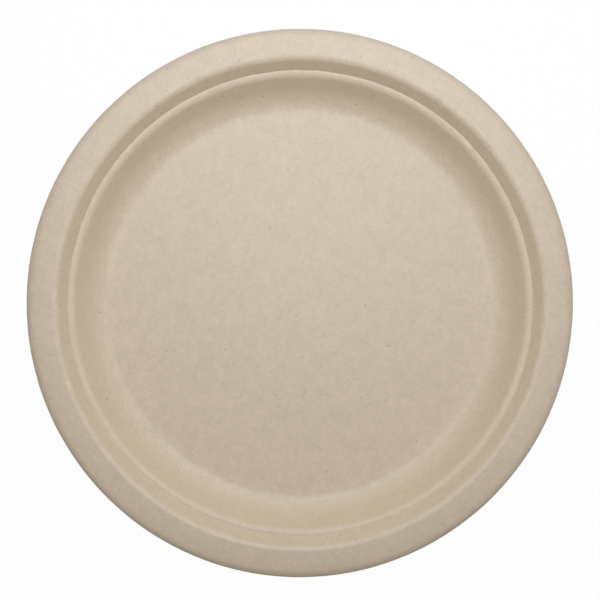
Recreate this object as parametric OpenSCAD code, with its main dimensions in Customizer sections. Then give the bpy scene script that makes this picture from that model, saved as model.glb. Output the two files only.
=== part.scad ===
// A round moulded-fibre plate: one pressed sheet of even thickness, revolved
// about Z. The plate stands on its floor at Z = 0 and is open upwards.
// The sheet's middle line is a chain of straight stretches joined by
// tangent bends, and the section is that line with half a wall each side.

/* [Overall] */
// Outside diameter, over the trimmed edge of the lip
plate_d = 260; // [180:1:320]
// Height from the table to the top of the rim
plate_h = 20; // [17:0.5:26]
// Thickness of the pressed fibre
wall_t = 0.8; // [0.5:0.1:1.2]

/* [Well] */
// Steepest slope of the side wall, in degrees from level
wall_slope = 50; // [44:1:53]
// Slope at which the tight heel bend gives way to the wide sweep
heel_slope = 25; // [15:1:32]
// Radius of the heel bend, where the floor starts to rise
heel_r = 10.7; // [4:0.1:14]
// Radius of the sweep from the heel up to the side wall
sweep_r = 23; // [10:0.5:28]

/* [Ledge] */
// Height of the stacking ledge above the table
ledge_h = 13.4; // [12:0.1:14.5]
// Width of the rim band, from the ledge's crease to the outer edge
rim_band_w = 18.75; // [17:0.05:26]
// Width of the ledge, between the lines of the riser and the side wall
ledge_w = 2.5; // [2.4:0.1:6]
// Radius of the shoulder where the ledge turns down into the side wall
ledge_shoulder_r = 4.2; // [1.5:0.1:4.4]
// Radius left in the crease by the moulding tool, on the upper face
crease_r = 0.3; // [0.2:0.1:0.6]

/* [Rim] */
// Slope of the riser between the ledge and the rim
riser_slope = 53; // [45:1:65]
// Radius of the shoulder where the riser turns over into the rim
rim_shoulder_r = 3.8; // [2:0.1:6]
// Radius of the crown, in which the level rim starts to fall outwards
crown_r = 60; // [20:5:90]
// Slope of the rim where the crown ends and the lip starts
rim_fall = 4; // [2:0.5:6]
// Radius of the turned-down lip
lip_r = 6.5; // [2:0.1:8]
// Slope of the lip at its trimmed edge
lip_slope = 24; // [15:1:40]
// Straight stretch left between the lip's bend and its trimmed edge
lip_land = 1; // [0.4:0.1:2]

/* [Hidden] */
$fn = 180;
fibre = [0.80, 0.74, 0.66];
half_t = wall_t / 2;
// Each bend is drawn in short facets, which turn by at most this many degrees
bend_step = 4;
// Points nearer than this to the one before are left out, as where two bends meet
least_step = 0.005;

// Levels of the middle line
floor_z = half_t;
ledge_z = ledge_h - half_t;
rim_z = plate_h - half_t;

// Side wall: the heel and sweep bends meet, and the wall runs up to the ledge
heel_run = heel_r * tan(heel_slope / 2);
sweep_run = sweep_r * tan((wall_slope - heel_slope) / 2);
sweep_z = floor_z + (heel_run + sweep_run) * sin(heel_slope);
crease_x = plate_d / 2 - rim_band_w;
shoulder_x = crease_x - ledge_w;
sweep_x = shoulder_x - (ledge_z - sweep_z) / tan(wall_slope);
heel_x = sweep_x - (heel_run + sweep_run) * cos(heel_slope);

// Rim: level behind the riser's shoulder; the crown and lip bends meet
rim_x = crease_x + (rim_z - ledge_z) / tan(riser_slope);
edge_x = plate_d / 2 - half_t * sin(lip_slope);
lip_run = lip_r * tan((lip_slope - rim_fall) / 2);
lip_x = edge_x - (lip_run + lip_land) * cos(lip_slope);
crown_run = crown_r * tan(rim_fall / 2);
crown_x = lip_x - (lip_run + crown_run) * cos(rim_fall);
lip_z = rim_z - (lip_x - crown_x) * tan(rim_fall);
edge_z = lip_z - (lip_run + lip_land) * sin(lip_slope);

// Corners of the middle line from the axis outwards, each as
// [distance from the axis, height, radius of its bend]
middle_line = [
    [0, floor_z, 0],
    [heel_x, floor_z, heel_r],
    [sweep_x, sweep_z, sweep_r],
    [shoulder_x, ledge_z, ledge_shoulder_r],
    [crease_x, ledge_z, crease_r + half_t],
    [rim_x, rim_z, rim_shoulder_r],
    [crown_x, rim_z, crown_r],
    [lip_x, lip_z, lip_r],
    [edge_x, edge_z, 0]
];

function place(corner) = [corner[0], corner[1]];

// Slope of the stretch that leaves corner i, in degrees
function slope(line, i) =
    atan2(line[i + 1][1] - line[i][1], line[i + 1][0] - line[i][0]);

// How far a bend's ends lie from its corner
function run(line, i) =
    i == 0 || i == len(line) - 1 ? 0
    : line[i][2] * tan(abs(slope(line, i) - slope(line, i - 1)) / 2);

function along(angle) = [cos(angle), sin(angle)];
function across(angle) = [-sin(angle), cos(angle)];

function bend_steps(line, i) =
    max(2, ceil(abs(slope(line, i) - slope(line, i - 1)) / bend_step));

// Point of the sheet's face at a share of the bend at corner i, from 0 to 1.
// The side is 1 for the upper face and -1 for the lower one.
function bend_point(line, i, share, side) =
    let (
        before = slope(line, i - 1),
        after = slope(line, i),
        turn = after > before ? 1 : -1,
        radius = line[i][2],
        centre = place(line[i]) - run(line, i) * along(before) + turn * radius * across(before)
    )
    centre + (side * half_t - turn * radius) * across(before + share * (after - before));

// Points of the sheet's upper or lower face from the axis to the trimmed edge
function face(line, side) =
    let (last = len(line) - 1)
    concat(
        [place(line[0]) + side * half_t * across(slope(line, 0))],
        [
            for (i = [1 : last - 1])
                for (k = [0 : bend_steps(line, i)])
                    bend_point(line, i, k / bend_steps(line, i), side)
        ],
        [place(line[last]) + side * half_t * across(slope(line, last - 1))]
    );

function spaced(points) =
    [for (i = [0 : len(points) - 1]) if (i == 0 || norm(points[i] - points[i - 1]) > least_step) points[i]];

function reversed(points) = [for (i = [len(points) - 1 : -1 : 0]) points[i]];

// The section is closed by the trimmed edge and, on the axis, by the floor's middle
module sheet_section(line) {
    polygon(concat(spaced(face(line, 1)), reversed(spaced(face(line, -1)))));
}

module plate() {
    color(fibre) rotate_extrude() sheet_section(middle_line);
}

plate();
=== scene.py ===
"""A round moulded-fibre plate on a white table, seen from straight above.

The plate is one pressed sheet. Its section is the same chain of straight
stretches and tangent bends as in the part's source, turned about Z, with the
small faults of a real pressing. Everything is in metres. The section's slopes
and the low light's angles are in degrees, and all other turns in radians.
"""

import bpy
import numpy as np
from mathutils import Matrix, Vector

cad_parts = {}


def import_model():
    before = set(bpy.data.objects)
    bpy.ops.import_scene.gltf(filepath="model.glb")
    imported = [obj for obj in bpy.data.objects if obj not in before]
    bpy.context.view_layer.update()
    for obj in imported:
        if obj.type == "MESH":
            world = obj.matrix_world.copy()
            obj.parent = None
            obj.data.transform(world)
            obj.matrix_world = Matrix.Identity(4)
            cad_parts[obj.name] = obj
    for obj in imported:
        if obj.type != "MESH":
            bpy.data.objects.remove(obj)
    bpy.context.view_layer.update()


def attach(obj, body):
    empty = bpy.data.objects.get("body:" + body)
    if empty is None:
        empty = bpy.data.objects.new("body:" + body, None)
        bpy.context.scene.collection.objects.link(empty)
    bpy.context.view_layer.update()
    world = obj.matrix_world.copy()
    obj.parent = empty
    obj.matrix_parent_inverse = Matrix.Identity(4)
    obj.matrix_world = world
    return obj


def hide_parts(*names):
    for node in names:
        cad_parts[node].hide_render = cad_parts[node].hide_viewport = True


# Sizes of the plate, as in the part's source
PLATE_D = 0.260
PLATE_H = 0.020
WALL_T = 0.0008
WALL_SLOPE = 50
HEEL_SLOPE = 25
HEEL_R = 0.0107
SWEEP_R = 0.023
LEDGE_H = 0.0134
RIM_BAND_W = 0.01875
LEDGE_W = 0.0025
LEDGE_SHOULDER_R = 0.0042
CREASE_R = 0.0003
RISER_SLOPE = 53
RIM_SHOULDER_R = 0.0038
CROWN_R = 0.060
RIM_FALL = 4
LIP_R = 0.0065
LIP_SLOPE = 24
LIP_LAND = 0.0010

# Distance of the outer edge and of the ledge's crease from the axis
EDGE_X = PLATE_D / 2
CREASE_X = EDGE_X - RIM_BAND_W

# How finely the sheet is drawn: steps round the plate, degrees to a step of a
# bend, the fewest steps to a bend, points over the floor and round the trimmed
# edge, and the least distance between one point and the next
AROUND = 480
BEND_STEP = 5.0
FEWEST_BEND_STEPS = 4
FLOOR_RINGS = 24
EDGE_STEPS = 11
LEAST_STEP = 1e-6

# How far the trimmed edge bulges, as a share of half the wall
CUT_BULGE = 0.25

# Share by which the pressed form is narrow along X and wide along Y
OUT_OF_ROUND = 0.0008

# Waves round the plate, a row for each: its size, how many there are, its phase
WARP_WAVES = ((0.00006, 2, -0.7), (0.00003, 3, 1.9), (0.00002, 5, 0.4))
RING_WAVES = ((0.00004, 17, 0.6), (0.00004, 38, 2.2), (0.00004, 61, 5.0), (0.00003, 94, 3.3))
CUT_WAVES = ((0.00002, 23, 1.1), (0.000015, 41, 4.0), (0.00001, 87, 2.5))

# How far the cut is off the mould's centre, and how far it is oval, each as
# its cosine and its sine part
CUT_OFF_CENTRE = (-0.00026, 0.00004)
CUT_OVAL = (-0.00015, 0.00003)

# Where the rings wander and where the lip starts, and how wide each place
# fades, as shares of the plate's radius
LEDGE_REACH = 0.87
LEDGE_FADE = 0.06
LIP_REACH = 0.955
LIP_FADE = 0.03

# The photograph's view: straight down, with the plate a little below the middle.
# The camera sees what lies between two distances from it.
CAMERA_ABOVE_RIM = 1.20
CAMERA_SEES = (0.05, 20)
SENSOR_MM = 36
MM_PER_PIXEL = 0.4746
PLATE_AT_PIXEL = (300.3, 303.1)
FRAME_PIXELS = 600

# Colours of the pulp, and of what shows in it
PULP_DARK = (0.530, 0.427, 0.325, 1)
PULP_LIGHT = (0.616, 0.496, 0.378, 1)
# Painted warm shade: the yellower tint of the well's bounced light, painted on its steep walls
# and band
PULP_WARM_SHADE = (0.553, 0.440, 0.300, 1)
FIBRE_LIGHT = (0.672, 0.553, 0.424, 1)
FIBRE_DARK = (0.450, 0.360, 0.262, 1)
BRAN_BROWN = (0.250, 0.170, 0.100, 1)
CUT_GREY = (0.475, 0.430, 0.365, 1)

# How strongly each of them shows, from 0 to 1. Clouds and grain may go past
# that, where the tone stays at its darkest or lightest.
CLOUDS_SHOW = 2.6
GRAIN_SHOWS = 0.3
GRAIN_SHOWS_ON_SLOPES = 1.6
# How strongly the painted warm shade shows on slopes and in the well's band
WARM_SHADE_ON_SLOPES = 0.38
WARM_SHADE_IN_BAND = 0.17
LIGHT_FIBRES_SHOW = 0.60
DARK_FIBRES_SHOW = 0.45
PITS_SHOW = 0.08
HUSK_SHOWS = 0.25
BRAN_SHOWS = 0.35
# How strongly the painted shade line in the ledge's crease shows
CREASE_SHADE_SHOWS = 0.2
CUT_SHOWS = 0.4

# The radii between which the inner and the outer edge of each tint fades
# The band round the well where warm shade is painted
WARM_SHADE_INNER = (CREASE_X - 0.017, CREASE_X - 0.010)
WARM_SHADE_OUTER = (CREASE_X - 0.001, CREASE_X)
# Radii of the painted shade line in the ledge's crease
CREASE_SHADE_INNER = (CREASE_X - 0.0016, CREASE_X - 0.0010)
CREASE_SHADE_OUTER = (CREASE_X - 0.0006, CREASE_X + 0.0001)
CUT_INNER = (EDGE_X - 0.0024, EDGE_X - 0.0006)

# The upward part of a normal below which the sheet is steep, and above which level
STEEP_BELOW = 0.70
LEVEL_ABOVE = 0.95

# Noise in the pulp, in waves a metre. The clouds have this many steps of finer
# waves, each as strong as the one before times the roughness.
CLOUDS_PER_METRE = 140.0
CLOUD_DETAIL = 3.0
CLOUD_ROUGHNESS = 1.1
GRAIN_PER_METRE = 1100.0

# Fibres: direction, waves a metre along and across, for each of three layers.
# They start to show at the first crest value of their noise, and are full at
# the second. A slow noise bends them, and light and dark ones are turned apart.
FIBRE_LAYERS = ((0.0, 330, 1900), (1.0, 420, 2300), (2.1, 380, 2100))
FIBRE_CRESTS = (0.75, 0.85)
FIBRE_BENDS_PER_METRE = 160.0
FIBRE_BEND = 0.003
LIGHT_FIBRES_TURN = 0.3
DARK_FIBRES_TURN = 0.8

# Specks: cells a metre, the share of cells that hold one, and its radius.
# A speck is solid out to a share of its radius and fades from there.
BRAN = (50.0, 0.85, 0.00050)
PITS = (330.0, 0.35, 0.00030)
SPECK_CORE = 0.6

# Husk: cells a metre along and across, the share of cells that hold a sliver,
# the sliver's radius as a share of its cell, and its two directions
HUSK_CELLS = (90.0, 225.0)
HUSK_SHARE = 0.5
HUSK_RADIUS = 0.055
HUSK_TURNS = (0.4, 1.9)

# How finely and how far the outlines of bran and husk are made ragged
RAGGED_PER_METRE = 1300.0
RAGGED_BY = 0.0009

# The surface: depth of its relief, the share of each part in that, and its gloss
RELIEF_DEPTH = 0.000016
GRAIN_RELIEF = 0.4
FIBRE_RELIEF = 0.5
CLOUD_RELIEF = 1.2
PIT_RELIEF = 0.9
SCREEN_RELIEF = 0.8
ROUGHNESS = 0.45
GRAIN_ROUGHNESS = 0.1
SPECULAR = 0.39

# Distance between the wires of the mould's screen
SCREEN_PITCH = 0.00035

# The table: its half width, level, colour, and how much of it is white to the camera
TABLE_HALF = 3.0
TABLE_Z = -0.0001
TABLE_COLOUR = (0.8, 0.8, 0.8, 1)
TABLE_WHITE = 0.98

# The light: the two lamps are cool and the room's weak light is warm, so that
# together they are near white. The low light is white.
LAMP_TINT = (0.843, 0.926, 1.0)
LAMP_WIDTH = 0.25
KEY_LAMP_AT = (0, 0.15, 0.45)
KEY_LAMP_POWER = 1.967
FILL_LAMP_AT = (0.15, 0.20, 0.45)
FILL_LAMP_POWER = 0.333
ROOM_TINT = (1.0, 0.667, 0.267, 1)
ROOM_STRENGTH = 0.1365
LOW_LIGHT_TURN = 60
LOW_LIGHT_RISE = 30
LOW_LIGHT_SPREAD = 35
LOW_LIGHT_STRENGTH = 0.292


def tand(angle):
    """Tangent of an angle in degrees."""
    return np.tan(np.radians(angle))


def along(angle):
    """Unit vector at this angle from level, as (outwards, up)."""
    return np.array([np.cos(np.radians(angle)), np.sin(np.radians(angle))])


def across(angle):
    """Unit vector at right angles to along(angle), on its upper side."""
    return np.array([-np.sin(np.radians(angle)), np.cos(np.radians(angle))])


def eased(share):
    """A share s held between 0 and 1 and smoothed: s squared times (3 - 2 s)."""
    share = np.clip(share, 0, 1)
    return share**2 * (3 - 2 * share)


def waves(turn, rows, shape=np.sin):
    """Sum over the rows of size times the sine, or cosine, of count * turn + phase."""
    return sum(size * shape(count * turn + phase) for size, count, phase in rows)


def middle_line_corners():
    """Corners of the sheet's middle line, from the axis outwards.

    Each row is distance from the axis, height and bend radius. The heel and
    the sweep meet end to end, and so do the rim's crown and the lip.
    """
    half_t = WALL_T / 2
    floor_z, ledge_z, rim_z = half_t, LEDGE_H - half_t, PLATE_H - half_t
    heel_run = HEEL_R * tand(HEEL_SLOPE / 2)
    sweep_run = SWEEP_R * tand((WALL_SLOPE - HEEL_SLOPE) / 2)
    sweep_z = floor_z + (heel_run + sweep_run) * along(HEEL_SLOPE)[1]
    shoulder_x = CREASE_X - LEDGE_W
    sweep_x = shoulder_x - (ledge_z - sweep_z) / tand(WALL_SLOPE)
    heel_x = sweep_x - (heel_run + sweep_run) * along(HEEL_SLOPE)[0]
    rim_x = CREASE_X + (rim_z - ledge_z) / tand(RISER_SLOPE)
    trim_x = EDGE_X - half_t * along(LIP_SLOPE)[1]
    lip_run = LIP_R * tand((LIP_SLOPE - RIM_FALL) / 2)
    lip_x, lip_drop = [trim_x, 0] - (lip_run + LIP_LAND) * along(LIP_SLOPE)
    crown_run = CROWN_R * tand(RIM_FALL / 2)
    crown_x = lip_x - (lip_run + crown_run) * along(RIM_FALL)[0]
    lip_z = rim_z - (lip_x - crown_x) * tand(RIM_FALL)
    return np.array([
        [0, floor_z, 0],
        [heel_x, floor_z, HEEL_R],
        [sweep_x, sweep_z, SWEEP_R],
        [shoulder_x, ledge_z, LEDGE_SHOULDER_R],
        [CREASE_X, ledge_z, CREASE_R + half_t],
        [rim_x, rim_z, RIM_SHOULDER_R],
        [crown_x, rim_z, CROWN_R],
        [lip_x, lip_z, LIP_R],
        [trim_x, lip_z + lip_drop, 0],
    ])


def middle_line():
    """Points on the middle line with the sheet's slope at each.

    On a bend of radius R, the point after a turn of t is the bend's start
    plus R times (sin t along its first direction and 1 - cos t across it,
    towards its centre). Between bends the line is straight.
    """
    corners = middle_line_corners()
    place, radius = corners[:, :2], corners[:, 2]
    step = np.diff(place, axis=0)
    slope = np.degrees(np.arctan2(step[:, 1], step[:, 0]))
    run = np.zeros(len(place))
    run[1:-1] = radius[1:-1] * tand(np.abs(np.diff(slope)) / 2)
    share = np.linspace(0, 1, FLOOR_RINGS)[:, None]
    floor_end = place[1] - [run[1], 0]
    points = [place[0] + share * (floor_end - place[0])]
    slopes = [np.zeros(FLOOR_RINGS)]
    for i in range(1, len(place) - 1):
        before, after = slope[i - 1], slope[i]
        turn = np.sign(after - before)
        count = int(np.ceil(max(abs(after - before) / BEND_STEP, FEWEST_BEND_STEPS)))
        t = np.linspace(0, abs(after - before), count + 1)
        start = place[i] - run[i] * along(before)
        points.append(
            start
            + radius[i] * np.sin(np.radians(t))[:, None] * along(before)
            + turn * radius[i] * (1 - np.cos(np.radians(t)))[:, None] * across(before)
        )
        slopes.append(before + turn * t)
    points.append(place[-1:])
    slopes.append(slope[-1:])
    points, slopes = np.concatenate(points), np.concatenate(slopes)
    apart = np.ones(len(points), bool)
    apart[1:] = np.linalg.norm(np.diff(points, axis=0), axis=1) > LEAST_STEP
    return points[apart], slopes[apart]


def closed_section():
    """The sheet's outline: half a wall above and below the middle line.

    It runs out along the upper face, round the trimmed edge, which the cut
    leaves slightly rounded, and back along the lower face to the axis. At a
    turn t from 0 to 180 degrees, the edge lies half a wall times cos t above
    the line's end, and bulges by a share of half a wall times sin t.
    """
    points, slopes = middle_line()
    side = np.stack([-np.sin(np.radians(slopes)), np.cos(np.radians(slopes))], 1)
    upper = points + WALL_T / 2 * side
    lower = points - WALL_T / 2 * side
    turn = np.linspace(0, np.pi, EDGE_STEPS + 2)[1:-1, None]
    bulge = CUT_BULGE * WALL_T / 2 * np.sin(turn) * along(slopes[-1])
    edge = points[-1] + WALL_T / 2 * np.cos(turn) * side[-1] + bulge
    return np.concatenate([upper, edge, lower[::-1]])


def warp(reach, turn):
    """Height error of the pressing: a few long waves that grow as reach to the fourth."""
    return reach**4 * waves(turn, WARP_WAVES, np.cos)


def ring_error(reach, turn):
    """How far the sheet's rings wander in and out, round the ledge only."""
    return eased(1 - np.abs(reach - LEDGE_REACH) / LEDGE_FADE) * waves(turn, RING_WAVES)


def trim_error(reach, turn):
    """How far the cut edge is off, at the lip only.

    The cutting ring sits 0.3 mm off the mould's centre, which makes one wave
    round the plate. It is a little narrow along X, which makes two, and the
    cut itself wanders in short waves.
    """
    return eased((reach - LIP_REACH) / LIP_FADE) * (
        CUT_OFF_CENTRE[0] * np.cos(turn)
        + CUT_OFF_CENTRE[1] * np.sin(turn)
        + CUT_OVAL[0] * np.cos(2 * turn)
        + CUT_OVAL[1] * np.sin(2 * turn)
        + waves(turn, CUT_WAVES)
    )


def plate_shell():
    """The section turned about Z.

    A section point at distance r from the axis goes to x = r cos a and
    y = r sin a at angle a, where r has the rings' and the cut's error and z
    the pressing's warp. The mould is out of round by under a tenth of a
    percent. Each point is also marked 1 on the lower face and 0 elsewhere.
    """
    section = closed_section()
    turn = np.linspace(0, 2 * np.pi, AROUND, endpoint=False)
    ring = section[1:-1]
    r, z = ring[:, :1], ring[:, 1:]
    reach = r / EDGE_X
    r = r + ring_error(reach, turn) + trim_error(reach, turn)
    x = r * np.cos(turn) * (1 - OUT_OF_ROUND)
    y = r * np.sin(turn) * (1 + OUT_OF_ROUND)
    z = z + warp(reach, turn)
    rings = np.stack([x, y, z], 2).reshape(-1, 3)
    poles = np.array([[0, 0, section[0, 1]], [0, 0, section[-1, 1]]])
    points = np.concatenate([rings, poles])

    i, a = np.meshgrid(np.arange(len(ring) - 1), np.arange(AROUND), indexing="ij")
    b = (a + 1) % AROUND
    quads = np.stack(
        [i * AROUND + a, (i + 1) * AROUND + a, (i + 1) * AROUND + b, i * AROUND + b], 2
    ).reshape(-1, 4)
    last = (len(ring) - 1) * AROUND
    a, b = np.arange(AROUND), (np.arange(AROUND) + 1) % AROUND
    top_pole = np.stack([np.full(AROUND, len(rings)), a, b], 1)
    low_pole = np.stack([last + a, np.full(AROUND, len(rings) + 1), last + b], 1)
    # The lower face's points come last, after the upper face's and the edge's
    below = np.arange(len(section)) >= (len(section) + EDGE_STEPS) // 2
    underside = np.append(np.repeat(below[1:-1], AROUND), [False, True]).astype(np.float32)
    return points, quads, np.concatenate([top_pole, low_pole]), underside


def mesh_piece(name, points, quads, triangles, smooth=True):
    """A mesh object from whole arrays of corners, four-sided and three-sided faces."""
    mesh = bpy.data.meshes.new(name)
    corners = np.concatenate([quads.ravel(), triangles.ravel()]).astype(np.int32)
    starts = np.concatenate([
        np.arange(len(quads)) * 4,
        len(quads) * 4 + np.arange(len(triangles)) * 3,
    ]).astype(np.int32)
    mesh.vertices.add(len(points))
    mesh.vertices.foreach_set("co", points.astype(np.float32).ravel())
    mesh.loops.add(len(corners))
    mesh.loops.foreach_set("vertex_index", corners)
    mesh.polygons.add(len(starts))
    mesh.polygons.foreach_set("loop_start", starts)
    mesh.polygons.foreach_set("use_smooth", np.full(len(starts), smooth))
    mesh.update(calc_edges=True)
    mesh.validate()
    piece = bpy.data.objects.new(name, mesh)
    bpy.context.scene.collection.objects.link(piece)
    return piece


class Value:
    """An output of a node, which takes plain arithmetic and adds Math nodes."""

    def __init__(self, nodes, socket):
        self.nodes = nodes
        self.socket = socket

    def other_output(self, name):
        """Another output of the same node."""
        return Value(self.nodes, self.socket.node.outputs[name])

    def __add__(self, other):
        return self.nodes.math("ADD", self, other)

    __radd__ = __add__

    def __sub__(self, other):
        return self.nodes.math("SUBTRACT", self, other)

    def __rsub__(self, other):
        return self.nodes.math("SUBTRACT", other, self)

    def __mul__(self, other):
        return self.nodes.math("MULTIPLY", self, other)

    __rmul__ = __mul__


class Nodes:
    """The node tree of a material or the world, filled one node at a time."""

    def __init__(self, owner):
        owner.use_nodes = True
        self.tree = owner.node_tree
        self.tree.nodes.clear()

    def add(self, kind, settings=None, inputs=None, output=0):
        """One node of this kind: its settings first, then values or links.

        A socket goes by its name, or by its number where the name is used twice.
        """
        node = self.tree.nodes.new(kind)
        for name, value in (settings or {}).items():
            setattr(node, name, value)
        for name, value in (inputs or {}).items():
            if isinstance(value, Value):
                self.tree.links.new(value.socket, node.inputs[name])
            else:
                node.inputs[name].default_value = value
        return Value(self, node.outputs[output] if len(node.outputs) else None)

    def math(self, operation, *terms):
        """One Math node on these values and numbers."""
        return self.add("ShaderNodeMath", {"operation": operation}, dict(enumerate(terms)))

    def largest(self, first, *others):
        """The largest of these values."""
        for other in others:
            first = self.math("MAXIMUM", first, other)
        return first

    def mix(self, share, first, second):
        """Colour that goes from first to second as share goes from 0 to 1.

        Sockets 6 and 7 are the node's two colours.
        """
        return self.add(
            "ShaderNodeMix",
            {"data_type": "RGBA"},
            {0: share, 6: first, 7: second},
            output=2,
        )

    def between(self, value, low, high):
        """0 below low, 1 above high, and smooth between."""
        return self.add(
            "ShaderNodeMapRange",
            {"interpolation_type": "SMOOTHSTEP"},
            {"Value": value, "From Min": low, "From Max": high},
        )

    def noise(self, place, per_metre, detail=0.0, roughness=0.5, output=0):
        """Noise around 0.5 with this many waves a metre.

        Each step of detail adds waves half as long, which are as strong as the
        last ones times the roughness. Output 1 is a vector of three such noises.
        """
        return self.add(
            "ShaderNodeTexNoise",
            {},
            {"Vector": place, "Scale": per_metre, "Detail": detail, "Roughness": roughness},
            output,
        )

    def shaken(self, place, per_metre, far):
        """The place pushed about by noise, over a span of about far along each axis."""
        push = self.noise(place, per_metre, 1.0, output=1)
        return self.add(
            "ShaderNodeVectorMath",
            {"operation": "MULTIPLY_ADD"},
            {0: push, 1: (far, far, far), 2: place},
        )

    def stretched(self, place, turn, long_per_metre, thin_per_metre):
        """The place turned about Z and scaled, so that a pattern on it is long and thin."""
        turned = self.add(
            "ShaderNodeMapping",
            {"vector_type": "POINT"},
            {"Vector": place, "Rotation": (0, 0, turn)},
        )
        return self.add(
            "ShaderNodeVectorMath",
            {"operation": "MULTIPLY"},
            {0: turned, 1: (long_per_metre, thin_per_metre, thin_per_metre)},
        )


def fibres(nodes, place, first_turn):
    """Thin fibres that cross in three directions: 1 on a fibre and 0 between.

    Each layer is noise stretched along its own direction, on a place that a
    slow noise bends, so that the fibres curve. Only the noise's crests show.
    """
    bent = nodes.shaken(place, FIBRE_BENDS_PER_METRE, FIBRE_BEND)
    layers = []
    for turn, long_per_metre, thin_per_metre in FIBRE_LAYERS:
        lengthwise = nodes.stretched(bent, first_turn + turn, long_per_metre, thin_per_metre)
        layers.append(nodes.between(nodes.noise(lengthwise, 1.0), *FIBRE_CRESTS))
    return nodes.largest(*layers)


def dots(nodes, place, per_metre, share, radius):
    """Round dots: one in each of this share of the cells of a random pattern.

    Each cell has a random colour, whose red decides whether it holds a dot,
    and whose green the dot's size, from half to one and a half times radius.
    """
    distance = nodes.add(
        "ShaderNodeTexVoronoi",
        {"voronoi_dimensions": "2D"},
        {"Vector": place, "Scale": per_metre},
    )
    luck = nodes.add("ShaderNodeSeparateColor", {}, {"Color": distance.other_output("Color")})
    chosen = nodes.math("LESS_THAN", luck, share)
    far = radius * per_metre * (0.5 + luck.other_output("Green"))
    return chosen * (1 - nodes.between(distance, far * SPECK_CORE, far))


def slivers(nodes, place, turn):
    """Short slivers of husk that lie in this direction: dots on a stretched place."""
    return dots(nodes, nodes.stretched(place, turn, *HUSK_CELLS), 1.0, HUSK_SHARE, HUSK_RADIUS)


def round_band(nodes, reach, inner, outer):
    """1 on a band round the axis, whose two edges each fade between two radii."""
    return nodes.between(reach, *inner) - nodes.between(reach, *outer)


def screen_print(nodes, place):
    """Print of the mould's woven wire screen: sin kx times sin ky, on the underside only.

    k is pi over the distance between two wires.
    """
    underside = nodes.add("ShaderNodeAttribute", {"attribute_name": "underside"}, output="Fac")
    x = nodes.add("ShaderNodeSeparateXYZ", {}, {"Vector": place})
    y = x.other_output("Y")
    wires_along_y = nodes.math("SINE", x * (np.pi / SCREEN_PITCH))
    wires_along_x = nodes.math("SINE", y * (np.pi / SCREEN_PITCH))
    return wires_along_y * wires_along_x * underside


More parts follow.
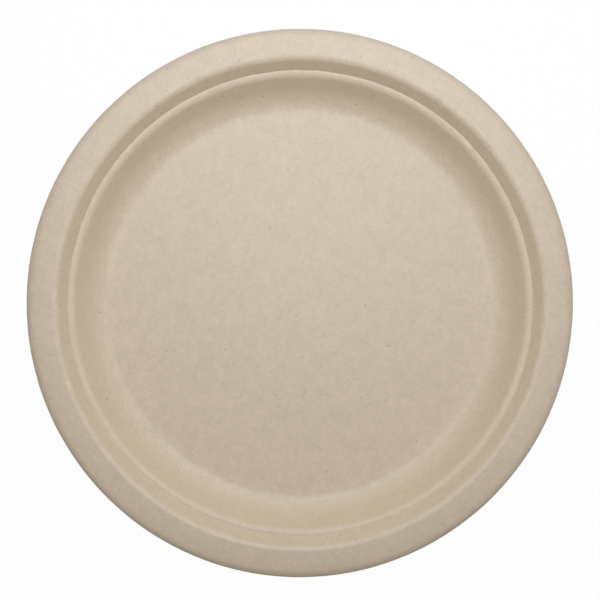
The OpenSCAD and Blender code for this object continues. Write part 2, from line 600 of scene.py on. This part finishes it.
def moulded_fibre():
    """Unbleached pressed pulp: warm tan with a dull gloss from the hot mould.

    Clouds of thick and thin pulp from 7 mm down to about 1 mm, a finer grain,
    crossing fibres, small pits, slivers of husk and a few specks of bran
    colour it. The well's wall, the ledge and the riser have painted warm
    shade: a yellower tint, as the bounced light in the well gives them. The
    ledge's crease has a painted shade line, and the last two millimetres to
    the trimmed edge are greyer and darker. The clouds, the grain, the light
    fibres and the pits give it a slight relief too, and the underside has
    the print of the mould's wire screen.
    """
    material = bpy.data.materials.new("moulded_fibre")
    nodes = Nodes(material)
    place = nodes.add("ShaderNodeTexCoord", output="Object")
    normal = place.other_output("Normal")
    upward = nodes.add("ShaderNodeSeparateXYZ", {}, {"Vector": normal}, output="Z")
    steep = 1 - nodes.between(nodes.math("ABSOLUTE", upward), STEEP_BELOW, LEVEL_ABOVE)
    flat = nodes.add("ShaderNodeVectorMath", {"operation": "MULTIPLY"}, {0: place, 1: (1, 1, 0)})
    reach = nodes.add("ShaderNodeVectorMath", {"operation": "LENGTH"}, {0: flat}, output="Value")
    # The band round the well where warm shade is painted
    in_band = round_band(nodes, reach, WARM_SHADE_INNER, WARM_SHADE_OUTER)
    # Where the painted shade line in the ledge's crease lies
    crease = round_band(nodes, reach, CREASE_SHADE_INNER, CREASE_SHADE_OUTER)
    cut = nodes.between(reach, *CUT_INNER)

    clouds = nodes.noise(place, CLOUDS_PER_METRE, CLOUD_DETAIL, CLOUD_ROUGHNESS)
    grain = nodes.noise(place, GRAIN_PER_METRE)
    light_fibres = fibres(nodes, place, LIGHT_FIBRES_TURN)
    dark_fibres = fibres(nodes, place, DARK_FIBRES_TURN)
    ragged = nodes.shaken(place, RAGGED_PER_METRE, RAGGED_BY)
    bran = dots(nodes, ragged, *BRAN)
    husk = nodes.largest(*[slivers(nodes, ragged, turn) for turn in HUSK_TURNS])
    pits = dots(nodes, place, *PITS)

    grain_shows = GRAIN_SHOWS + steep * GRAIN_SHOWS_ON_SLOPES
    blotches = (clouds - 0.5) * CLOUDS_SHOW + (grain - 0.5) * grain_shows
    # Painted warm shade: steep slopes and the well's band are tinted yellower, as bounced light
    # makes them look
    warm_shade = steep * WARM_SHADE_ON_SLOPES + in_band * WARM_SHADE_IN_BAND
    tone = nodes.mix(0.5 + blotches, PULP_DARK, PULP_LIGHT)
    tone = nodes.mix(warm_shade, tone, PULP_WARM_SHADE)
    tone = nodes.mix(light_fibres * LIGHT_FIBRES_SHOW, tone, FIBRE_LIGHT)
    tone = nodes.mix(dark_fibres * DARK_FIBRES_SHOW, tone, FIBRE_DARK)
    tone = nodes.mix(pits * PITS_SHOW + husk * HUSK_SHOWS, tone, BRAN_BROWN)
    tone = nodes.mix(bran * BRAN_SHOWS, tone, BRAN_BROWN)
    # Painted shade line in the ledge's crease
    tone = nodes.mix(crease * CREASE_SHADE_SHOWS, tone, FIBRE_DARK)
    tone = nodes.mix(cut * CUT_SHOWS, tone, CUT_GREY)

    relief = grain * GRAIN_RELIEF + light_fibres * FIBRE_RELIEF + clouds * CLOUD_RELIEF
    relief = relief - pits * PIT_RELIEF + screen_print(nodes, place) * SCREEN_RELIEF
    bumpy = nodes.add(
        "ShaderNodeBump", {}, {"Strength": 1.0, "Distance": RELIEF_DEPTH, "Height": relief}
    )
    shader = nodes.add(
        "ShaderNodeBsdfPrincipled",
        {},
        {
            "Base Color": tone,
            "Roughness": ROUGHNESS + grain * GRAIN_ROUGHNESS,
            "Specular IOR Level": SPECULAR,
            "Normal": bumpy,
        },
    )
    nodes.add("ShaderNodeOutputMaterial", {}, {"Surface": shader})
    return material


def seen_directly(nodes):
    """1 for what the camera sees, also in a mirror or through glass, and 0 for light."""
    camera = nodes.add("ShaderNodeLightPath", output="Is Camera Ray")
    mirror = camera.other_output("Is Glossy Ray")
    glass = camera.other_output("Is Transmission Ray")
    return nodes.largest(camera, mirror, glass)


def white_table():
    """The table: white to the camera, with the plate's faint shadow left on it."""
    points = np.array([
        [-TABLE_HALF, -TABLE_HALF, TABLE_Z],
        [TABLE_HALF, -TABLE_HALF, TABLE_Z],
        [TABLE_HALF, TABLE_HALF, TABLE_Z],
        [-TABLE_HALF, TABLE_HALF, TABLE_Z],
    ])
    table = mesh_piece(
        "table", points, np.array([[0, 1, 2, 3]]), np.zeros((0, 3), int), smooth=False
    )
    material = bpy.data.materials.new("white_table")
    nodes = Nodes(material)
    lit = nodes.add("ShaderNodeBsdfDiffuse", {}, {"Color": TABLE_COLOUR})
    white = nodes.add("ShaderNodeEmission", {}, {"Strength": 1.0})
    surface = nodes.add(
        "ShaderNodeMixShader", {}, {0: seen_directly(nodes) * TABLE_WHITE, 1: lit, 2: white}
    )
    nodes.add("ShaderNodeOutputMaterial", {}, {"Surface": surface})
    table.data.materials.append(material)


def soft_room():
    """Faint warm light, even all round, and white where the camera looks past the table."""
    world = bpy.data.worlds.new("soft_room")
    bpy.context.scene.world = world
    nodes = Nodes(world)
    room = nodes.add(
        "ShaderNodeBackground", {}, {"Color": ROOM_TINT, "Strength": ROOM_STRENGTH}
    )
    white = nodes.add("ShaderNodeBackground", {}, {"Color": (1, 1, 1, 1), "Strength": 1.0})
    surface = nodes.add("ShaderNodeMixShader", {}, {0: seen_directly(nodes), 1: room, 2: white})
    nodes.add("ShaderNodeOutputWorld", {}, {"Surface": surface})


def lamp(name, place, power):
    """A square soft lamp at this place, turned towards the middle of the plate."""
    data = bpy.data.lights.new(name, "AREA")
    data.size = LAMP_WIDTH
    data.energy = power
    data.color = LAMP_TINT
    light = bpy.data.objects.new(name, data)
    light.location = place
    light.rotation_mode = "QUATERNION"
    light.rotation_quaternion = Vector(place).to_track_quat("Z", "Y")
    bpy.context.scene.collection.objects.link(light)


def low_light():
    """Weak wide light from far off, at its angles from +X and above the table."""
    data = bpy.data.lights.new("low_light", "SUN")
    data.angle = np.radians(LOW_LIGHT_SPREAD)
    data.energy = LOW_LIGHT_STRENGTH
    light = bpy.data.objects.new("low_light", data)
    out, up = along(LOW_LIGHT_RISE)
    to_x, to_y = along(LOW_LIGHT_TURN)
    light.rotation_mode = "QUATERNION"
    light.rotation_quaternion = Vector((out * to_x, out * to_y, up)).to_track_quat("Z", "Y")
    bpy.context.scene.collection.objects.link(light)


def overhead_camera():
    """The photograph's camera: above the plate, image up along +Y.

    It stands off the plate's axis by as much as the plate's middle lies off
    the picture's, and its lens takes in the whole picture at the rim.
    """
    data = bpy.data.cameras.new("overhead_camera")
    pixel_m = MM_PER_PIXEL / 1000
    data.sensor_width = SENSOR_MM
    data.lens = SENSOR_MM * CAMERA_ABOVE_RIM / (FRAME_PIXELS * pixel_m)
    data.clip_start, data.clip_end = CAMERA_SEES
    camera = bpy.data.objects.new("overhead_camera", data)
    camera.location = (
        (FRAME_PIXELS / 2 - PLATE_AT_PIXEL[0]) * pixel_m,
        (PLATE_AT_PIXEL[1] - FRAME_PIXELS / 2) * pixel_m,
        PLATE_H + CAMERA_ABOVE_RIM,
    )
    bpy.context.scene.collection.objects.link(camera)
    bpy.context.scene.camera = camera


def main():
    """The frame first, then the plate in its CAD node's place, and the scene round it."""
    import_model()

    points, quads, triangles, underside = plate_shell()
    plate = mesh_piece("plate_shell", points, quads, triangles)
    mark = plate.data.attributes.new("underside", "FLOAT", "POINT")
    mark.data.foreach_set("value", underside)
    plate.data.materials.append(moulded_fibre())
    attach(plate, "root")
    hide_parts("plate")

    white_table()
    soft_room()
    lamp("key_lamp", KEY_LAMP_AT, KEY_LAMP_POWER)
    lamp("fill_lamp", FILL_LAMP_AT, FILL_LAMP_POWER)
    low_light()
    overhead_camera()
    bpy.context.scene.view_settings.view_transform = "Standard"


main()
